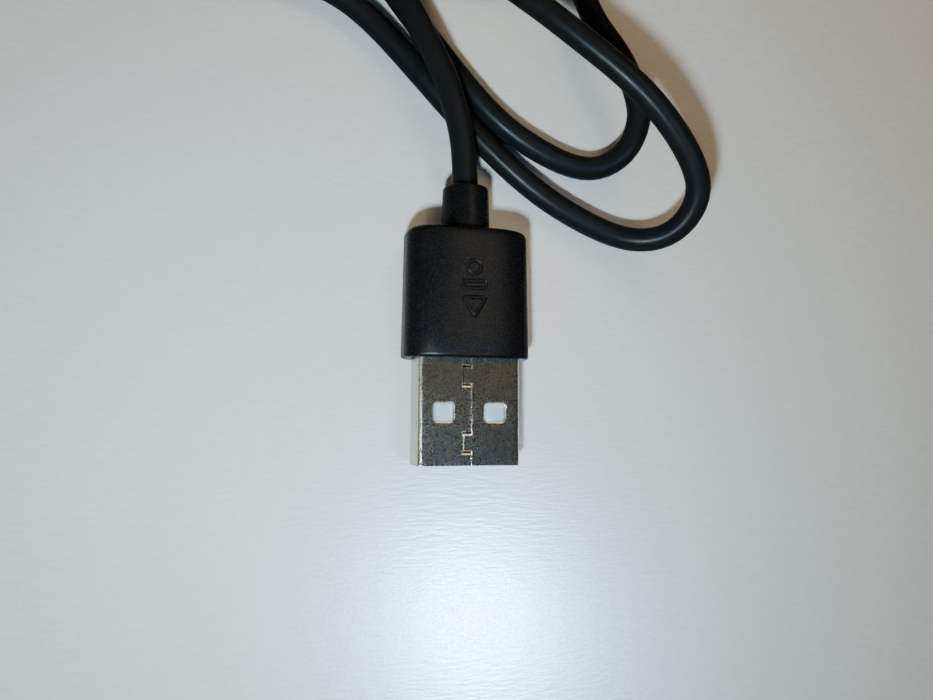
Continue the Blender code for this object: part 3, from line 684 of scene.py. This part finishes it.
def seam_tools(roof):
    """Slots that step round each tab: a narrow gap between the edges, opened where each edge is rolled."""
    tools = []
    narrow, wide, past_end = 0.04, 0.13, 1.0
    left = SEAM_X - TAB_REACH
    seam = (SEAM_X - SEAM_HALF, SEAM_X + SEAM_HALF)
    tab_side = (left - SEAM_HALF, left + SEAM_HALF)
    across = (left - SEAM_HALF, SEAM_X + SEAM_HALF)
    starts = [-past_end] + [tab[1] for tab in TABS]
    ends = [tab[0] for tab in TABS] + [SHELL_LENGTH + past_end]
    for y_range in zip(starts, ends):
        tools.append(slot_tool(roof, seam, y_range, narrow, SEAM_DEPTH))
    reach = SLOT / 2 - 0.05
    for tab in TABS:
        tools.append(slot_tool(roof, tab_side, tab, narrow, SEAM_DEPTH))
        for at in tab:
            tools.append(slot_tool(roof, across, (at - reach, at + reach), wide, SLOT_DEPTH))
    return tools


# ---------------------------------------------------------------- cord

CORD_RADIUS = 1.5
CORD_SIDES = 24
CORD_STEP = 1.0
COIL_CENTRE = (1.0, 66.8)
COIL_COLUMNS = (19.1, 16.0, 12.9)
COIL_LAYERS = (2.15, 5.2)
COIL_IN = 224.0
COIL_TURNS = 5.206
# The turns over which the strand steps inward between two columns, climbs to the upper layer, and steps
# back outward. The outer two columns come first.
COIL_INWARD = ((0.80, 0.99), (1.80, 1.99))
COIL_CLIMB = (2.42, 2.74)
COIL_OUTWARD = ((4.22, 4.42), (3.22, 3.42))

# The run leaves the collar, crosses over the two loops' strands, goes round outside the coil, makes the
# inner loop, turns back, makes the larger loop, and rises over the inner one on its way to the coil.
RUN = [
    (0.0, 16.1, 4.0),
    (-0.4, 21.5, 4.2),
    (-1.6, 26.0, 4.7),
    (-4.0, 31.6, 5.0),
    (-12.6, 46.4, 4.7),
    (-19.0, 56.2, 4.2),
    (-22.0, 66.2, 1.9),
    (-18.8, 78.2, 1.5),
    (-10.4, 86.6, 1.5),
    (1.0, 89.7, 1.5),
    (12.5, 86.6, 1.5),
    (20.8, 78.2, 1.5),
    (23.9, 66.8, 1.5),
    (20.3, 55.2, 1.7),
    (16.0, 47.0, 2.6),
    (16.6, 40.4, 4.2),
    (20.4, 34.0, 5.2),
    (22.6, 28.0, 4.9),
    (21.5, 23.4, 3.3),
    (17.3, 21.1, 1.8),
    (11.0, 22.6, 1.5),
    (3.2, 27.6, 1.5),
    (-7.6, 39.8, 1.5),
    (-16.0, 50.8, 1.5),
    (-21.8, 55.4, 1.5),
    (-28.2, 56.4, 1.5),
    (-33.0, 52.4, 1.5),
    (-33.2, 45.8, 1.5),
    (-28.4, 41.6, 1.5),
    (-21.6, 41.4, 1.5),
    (-12.3, 37.8, 1.5),
    (1.3, 24.6, 1.5),
    (11.0, 16.9, 1.5),
    (21.2, 12.3, 2.2),
    (26.7, 12.7, 5.8),
    (27.6, 17.8, 10.0),
    (20.4, 25.8, 12.4),
    (9.4, 34.2, 11.6),
    (0.6, 41.2, 8.8),
    (-6.2, 46.8, 4.6),
    (-10.2, 50.9, 2.5),
]

# The tail leaves the coil, passes over the run and goes down to the small plug.
TAIL = [
    (-13.4, 81.6, 5.2),
    (-10.2, 87.4, 5.0),
    (-5.6, 92.2, 4.2),
    (-0.8, 94.8, 3.6),
    (4.3, 95.4, 3.5),
    (4.5, 95.4, 3.5),
]


def ease(value, start, end):
    """Goes smoothly from 0 at start to 1 at end."""
    share = min(1.0, max(0.0, (value - start) / (end - start)))
    return share * share * (3 - 2 * share)


def coil_points():
    """The coil's turns: outer to inner column below, then up, and inner to outer column above."""
    points = []
    steps = round(COIL_TURNS * 24)
    columns = list(zip(COIL_COLUMNS, COIL_COLUMNS[1:]))
    low, high = COIL_LAYERS
    for k in range(steps + 1):
        turn = COIL_TURNS * k / steps
        radius = COIL_COLUMNS[0]
        for (outer, inner), inward, outward in zip(columns, COIL_INWARD, COIL_OUTWARD):
            radius += (inner - outer) * (ease(turn, *inward) - ease(turn, *outward))
        height = low + (high - low) * ease(turn, *COIL_CLIMB)
        angle = math.radians(COIL_IN) - 2 * math.pi * turn
        x = COIL_CENTRE[0] + radius * math.cos(angle)
        y = COIL_CENTRE[1] + radius * math.sin(angle)
        points.append((x, y, height))
    return points


def smooth_route(knots, step):
    """Points about one step apart on the smooth curve through the knots, kept on or above the table."""
    knots = [np.array(k, float) for k in knots]
    knots = [2 * knots[0] - knots[1]] + knots + [2 * knots[-1] - knots[-2]]
    pieces, passes = 24, 12
    fine = []
    for a, b, c, d in zip(knots, knots[1:], knots[2:], knots[3:]):
        slope, bend, twist = c - a, 2 * a - 5 * b + 4 * c - d, 3 * b - a - 3 * c + d
        for t in np.arange(pieces) / pieces:
            fine.append(0.5 * (2 * b + slope * t + bend * t**2 + twist * t**3))
    fine = np.array(fine + [knots[-2]])
    for _ in range(passes):
        fine[1:-1] += 0.5 * ((fine[:-2] + fine[2:]) / 2 - fine[1:-1])
    fine[:, 2] = np.maximum(fine[:, 2], CORD_RADIUS)
    lengths = np.concatenate([[0], np.cumsum(np.linalg.norm(np.diff(fine, axis=0), axis=1))])
    at = np.linspace(0, lengths[-1], round(lengths[-1] / step) + 1)
    return np.stack([np.interp(at, lengths, fine[:, axis]) for axis in range(3)], axis=1)


def tube_sections(route, radius, sides):
    """Rings round a route, carried along it without twist."""
    tangents = np.gradient(route, axis=0)
    tangents /= np.linalg.norm(tangents, axis=1)[:, None]
    turns = [2 * math.pi * n / sides for n in range(sides)]
    side = np.array([1.0, 0.0, 0.0])
    sections = []
    for at, along in zip(route, tangents):
        side = side - along * (side @ along)
        side /= np.linalg.norm(side)
        up = np.cross(side, along)
        ring = [at + radius * (side * math.cos(a) + up * math.sin(a)) for a in turns]
        sections.append([tuple(point) for point in ring])
    return sections


def make_cord(material):
    """The whole cord as one closed tube, and the route that it follows."""
    route = smooth_route(RUN + coil_points() + TAIL, CORD_STEP)
    sections = tube_sections(route, CORD_RADIUS, CORD_SIDES)
    return add_piece("cord", *rings(sections), material, smooth_angle=60.0), route


# ---------------------------------------------------------------- small plug and tie

SMALL_AT = (32.6, 95.4)
SMALL_Z = 3.5
SMALL_SHELL = ((-3.42, 0.92), (-3.42, 0.05), (-2.62, -0.92), (2.62, -0.92), (3.42, 0.05), (3.42, 0.92))
SMALL_MOULD = (10.6, 7.0)
TIE_ANGLE = -60.0
TIE_WIDTH = 3.6
TIE_THICK = 0.34
TIE_REACH = 9.8
TIE_HEIGHTS = (0.35, 6.95)
# Half of the tie's flat section, across its width, with the wire's ridge in the middle.
TIE_SECTION = (
    (-1.0, -0.5),
    (-0.94, -0.62),
    (-0.5, -0.5),
    (0.0, -1.0),
    (0.5, -0.5),
    (0.94, -0.62),
    (1.0, -0.5),
)


def small_overmould(material):
    """The small plug's moulding, with an arrow sunk in its top. Its mouth faces +X."""
    hole = [(x * 1.02, z * 1.06) for x, z in SMALL_SHELL]
    obj = moulding(
        "small_moulding",
        size=SMALL_MOULD,
        taper=0.4,
        front=5.6,
        back=23.0,
        end=28.2,
        collar=2.5,
        hole=hole[::-1],
        room=rectangle(9.1, 4.9, 0.6),
        room_y=(9.7, 17.65),
        material=material,
    )
    top = SMALL_MOULD[1] / 2 + 0.02
    arrow = [Vector(corner) for corner in ((0.0, 8.6), (1.1, 10.4), (-1.1, 10.4))]
    cut(obj, [groove([(x, y, top) for x, y in rounded_path(arrow, 0.25)], 0.15)])
    move = Matrix.Translation((SMALL_AT[0] * MM, SMALL_AT[1] * MM, SMALL_Z * MM))
    obj.data.transform(move @ Matrix.Rotation(math.radians(90), 4, "Z"))
    return obj


def coil_tie(material):
    """A flat tie with a wire core, bent round the turns, its two ends twisted together on top."""
    angle = math.radians(TIE_ANGLE)
    outward = np.array([math.cos(angle), math.sin(angle), 0.0])
    along = np.array([math.sin(angle), -math.cos(angle), 0.0])
    up = np.array([0, 0, 1.0])
    middle = COIL_COLUMNS[1]
    centre = np.array([*COIL_CENTRE, 0.0])
    low, high = TIE_HEIGHTS
    loop = [(middle + x, (low + high) / 2 + z) for x, z in rectangle(TIE_REACH, high - low, 0.9, 6)]
    profile = [*TIE_SECTION, *((-u, -v) for u, v in TIE_SECTION)]
    sections = []
    for k, (reach, height) in enumerate(loop):
        before, after = np.array(loop[k - 1]), np.array(loop[(k + 1) % len(loop)])
        way = (after - before) / np.linalg.norm(after - before)
        normal = outward * way[1] - up * way[0]
        at = centre + outward * reach + up * height
        ring = [at + along * (TIE_WIDTH / 2 * u) + normal * (TIE_THICK / 2 * v) for u, v in profile]
        sections.append([tuple(point) for point in ring])
    pieces = [add_piece("tie_band", *rings(sections, closed=True), material, smooth_angle=50.0)]

    twist_length, twist_radius, twist_rise, steps = 7.2, 0.42, 0.25, 40
    for start, name in ((0.0, "tie_end_a"), (math.pi, "tie_end_b")):
        route = []
        for k in range(steps + 1):
            turn = 3 * math.pi * k / steps + start
            reach = middle + twist_length * (k / steps - 0.5)
            height = high + 0.55 + twist_rise * math.sin(turn)
            across = twist_radius * math.cos(turn)
            route.append(centre + outward * reach + up * height + along * across)
        twist = tube_sections(np.array(route), 0.36, 12)
        pieces.append(add_piece(name, *rings(twist), material, smooth_angle=60.0))
    return pieces


# ---------------------------------------------------------------- floor and lights


FLOOR_HALF = 1.5
# Just below the part, so that the two don't share a plane.
FLOOR_Z = -0.00002


def make_floor():
    """The table's flat top, which isn't part of the object."""
    half = FLOOR_HALF
    mesh = bpy.data.meshes.new("floor")
    corners = [(-half, -half, 0), (half, -half, 0), (half, half, 0), (-half, half, 0)]
    mesh.from_pydata(corners, [], [(0, 1, 2, 3)])
    mesh.materials.append(table_top())
    floor = bpy.data.objects.new("floor", mesh)
    floor.location.z = FLOOR_Z
    bpy.context.scene.collection.objects.link(floor)


def group_of(obj):
    """Which group of surfaces the piece belongs to, for lamps that light only one group."""
    if obj.name == "floor":
        return "floor"
    return "black" if obj.name in ("overmould", "small_moulding", "cord") else "metal"


def area_light(name, at, aim, size, power, colour, diffuse, glossy, onto):
    """A round lamp. Its light can be kept to the floor, the black plastics, or the rest."""
    data = bpy.data.lights.new(name, "AREA")
    data.shape = "DISK"
    data.size = size
    data.energy = power
    data.color = colour
    light = bpy.data.objects.new(name, data)
    light.location = at
    light.rotation_mode = "QUATERNION"
    light.rotation_quaternion = (Vector(aim) - Vector(at)).to_track_quat("-Z", "Y")
    light.visible_diffuse = diffuse
    light.visible_glossy = glossy
    bpy.context.scene.collection.objects.link(light)
    if onto:
        lit = bpy.data.collections.new("lit_by_" + name)
        for obj in bpy.context.scene.objects:
            if obj.type == "MESH" and group_of(obj) == onto:
                lit.objects.link(obj)
        light.light_linking.receiver_collection = lit


LAMP_AT = (-0.029, -0.036, 0.080)
PANEL_AT = (0.137, -0.157, 0.465)
CEILING_AT = (0.300, 0.210, 0.930)
GLINT_AT = (0.260, 0.330, 0.910)
WARM_AT = (0.120, 0.700, 0.640)
SIDE_AT = (0.100, 0.090, 0.100)
WINDOW_LIGHT_AT = (-0.550, 0.050, 0.500)
PLUG = (0.0, 0.01, 0.0)
TABLE_SPOT = (0.0, -0.034, 0.0)
# Each lamp: name, place, what it points at, width, power in watts, colour, whether diffuse and glossy
# surfaces see it, and the one group of surfaces that it lights, or None for all of them.
LIGHTS = (
    ("near_lamp", LAMP_AT, (0.03, 0.028, 0.0), 0.009, 0.194, (0.72, 0.91, 1.0), True, False, None),
    ("near_glint", LAMP_AT, PLUG, 0.009, 0.082, (0.70, 0.86, 1.0), False, True, "metal"),
    ("near_sheen", LAMP_AT, PLUG, 0.009, 1.300, (0.58, 0.80, 1.0), False, True, "black"),
    ("cool_panel", PANEL_AT, TABLE_SPOT, 0.06, 7.0, (0.24, 0.62, 1.0), False, True, "floor"),
    ("cool_glint", PANEL_AT, TABLE_SPOT, 0.06, 0.20, (0.34, 0.60, 1.0), False, True, "metal"),
    ("cool_sheen", PANEL_AT, TABLE_SPOT, 0.06, 4.2, (0.34, 0.62, 1.0), False, True, "black"),
    ("warm_panel", WARM_AT, (0.0, 0.02, 0.0), 0.45, 2.8, (1.0, 0.78, 0.48), True, True, None),
    ("ceiling", CEILING_AT, (0.0, 0.0, 0.0), 0.26, 0.40, (1.0, 0.78, 0.52), True, True, None),
    ("ceiling_sheen", CEILING_AT, (0.0, 0.0, 0.0), 0.26, 6.6, (1.0, 0.82, 0.66), False, True, "black"),
    ("ceiling_glint", GLINT_AT, (0.0, 0.0, 0.0), 0.26, 0.35, (1.0, 0.74, 0.34), False, True, "metal"),
    ("warm_side", SIDE_AT, (0.04, 0.04, 0.0), 0.12, 0.030, (1.0, 0.55, 0.20), True, False, "floor"),
    ("left_window", WINDOW_LIGHT_AT, (0.0, 0.02, 0.0), 0.10, 0.22, (0.86, 0.93, 1.0), True, True, None),
)
# The room's light by the height it comes from: level or below, half way in height, and straight above.
ROOM = (
    (0.0, (0.040, 0.032, 0.026)),
    (0.5, (0.034, 0.028, 0.022)),
    (1.0, (0.012, 0.011, 0.010)),
)


def make_lights():
    """The lamps, and the room's dim light from all round. It comes after every piece is made."""
    for light in LIGHTS:
        area_light(*light)
    world = bpy.data.worlds.new("room")
    bpy.context.scene.world = world
    world.use_nodes = True
    tree = world.node_tree
    tree.nodes.clear()
    direction = node(tree, "ShaderNodeTexCoord").outputs["Generated"]
    height = node(tree, "ShaderNodeSeparateXYZ", [("Vector", direction)]).outputs["Z"]
    background = node(tree, "ShaderNodeBackground", [("Color", ramp(tree, height, ROOM))], Strength=1.0)
    output = node(tree, "ShaderNodeOutputWorld")
    tree.links.new(background.outputs[0], output.inputs["Surface"])


# ---------------------------------------------------------------- everything together


def dress(names, material):
    """Gives carried-over CAD nodes their material."""
    for name in names:
        slots = NODES[name].data.materials
        if not slots:
            slots.append(material)
        for k in range(len(slots)):
            slots[k] = material


def starting(prefix):
    """The names of the nodes that start with this prefix."""
    return [name for name in NODES if name.startswith(prefix)]


make_camera()
jacket = cord_jacket()
cord, cord_route = make_cord(jacket)
make_floor()

plastic = moulded_plastic()
plate = nickel()
overmould = plug_overmould(plastic)
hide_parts("plug_overmould")
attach(overmould, "lead")
# Painted shade for the seam's slots: a near-black plastic put on their walls and floor.
painted_seam_shade = plain_plastic("seam_painted_shade", (0.004, 0.004, 0.004), (0.008, 0.006, 0.005), 0.5, 0.7)
shell = shell_sheet(plate, painted_seam_shade)
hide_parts("plug_shell")
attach(shell, "lead")
small_body = small_overmould(plastic)
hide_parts("small_overmould")
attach(small_body, "lead")
tie_material = plain_plastic("tie_plastic", (0.02, 0.02, 0.021), (0.03, 0.03, 0.03), 0.4, 0.6)
tie = coil_tie(tie_material)
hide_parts("coil_tie")
for piece in tie:
    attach(piece, "lead")

# The white nylon's colour is darker and bluer than white: painted shade and painted cool light, as it looks
# inside the shell's windows.
white = plain_plastic("white_nylon", (0.47, 0.63, 0.80), (0.43, 0.58, 0.73), 0.35, 0.5, Subsurface_Weight=0.1)
black_nylon = plain_plastic("black_nylon", (0.02, 0.02, 0.02), (0.03, 0.03, 0.03), 0.4, 0.6)
resin = plain_plastic("moulding_resin", (0.70, 0.68, 0.60), (0.62, 0.59, 0.50), 0.45, 0.6)
gold = plain_metal("gold_flash", (0.83, 0.62, 0.27), 0.15, 0.32, 0.006)
solder = plain_metal("solder", (0.60, 0.60, 0.58), 0.25, 0.5, 0.03, 2600.0)
tin = plain_metal("tinned_steel", (0.60, 0.60, 0.58), 0.28, 0.48)
spring = plain_metal("spring_steel", (0.58, 0.57, 0.55), 0.2, 0.35, 0.006)
dress(["plug_insulator"], white)
dress(["small_insulator"], black_nylon)
dress(starting("contact_") + starting("small_contact_"), gold)
dress(starting("solder_") + starting("small_solder_"), solder)
dress(["rear_shield", "small_rear_shield"], tin)
dress(["inner_mould", "small_inner_mould"], resin)
dress(["shield_braid"], braid())
dress(["cord_end", "small_cord_end"], jacket)
dress(starting("small_latch_"), spring)
dress(["small_shell"], plate)
WIRES = {
    "red": ((0.55, 0.03, 0.03), (0.45, 0.02, 0.02)),
    "white": ((0.80, 0.80, 0.78), (0.70, 0.70, 0.67)),
    "green": ((0.03, 0.32, 0.08), (0.02, 0.24, 0.06)),
    "black": ((0.02, 0.02, 0.02), (0.03, 0.03, 0.03)),
}
for wire, (first, second) in WIRES.items():
    insulation = plain_plastic(f"wire_{wire}", first, second, 0.35, 0.5)
    dress([f"wire_{wire}", f"small_wire_{wire}"], insulation)

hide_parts("cord_run", "cord_coil", "cord_tail")
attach(cord, "lead")

make_lights()
